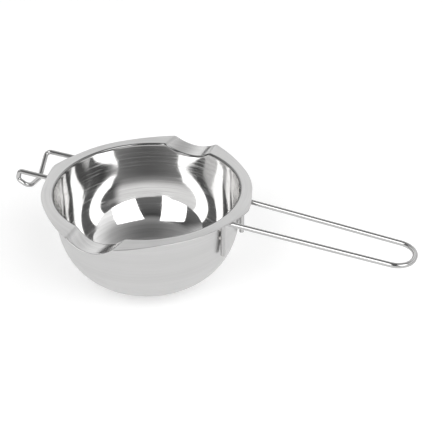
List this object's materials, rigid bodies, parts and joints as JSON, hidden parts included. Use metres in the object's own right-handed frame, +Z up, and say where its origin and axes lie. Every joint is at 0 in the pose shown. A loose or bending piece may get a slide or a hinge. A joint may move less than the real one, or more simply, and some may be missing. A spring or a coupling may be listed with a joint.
{
  "type": "candle melting pot",
  "caption": "Small pouring bowl of pressed steel with a flat flange, pouring spouts, a long looped wire handle and a bent wire hook that sits it in a larger pan.",
  "frame": {"origin": "centre of the underside of the bowl's flat base, which is the surface it stands on", "axes": "+Z up, +X out along the handle, -X out along the hook, -Y and +Y out through the spouts"},
  "size_m": [0.2783, 0.152, 0.065],
  "materials": {
    "pressed_steel": "satin outside and on the flange, mirror polished inside",
    "drawn_wire": "bright drawn stainless wire",
    "weld_metal": "dull resistance weld nuggets, faintly heat tinted"
  },
  "bodies": {
    "root": {"bowl": "pressed_steel", "handle_wire": "drawn_wire", "hook_wire": "drawn_wire", "handle_weld_front": "weld_metal", "handle_weld_back": "weld_metal", "hook_weld_front": "weld_metal", "hook_weld_back": "weld_metal"}
  },
  "joints": []
}
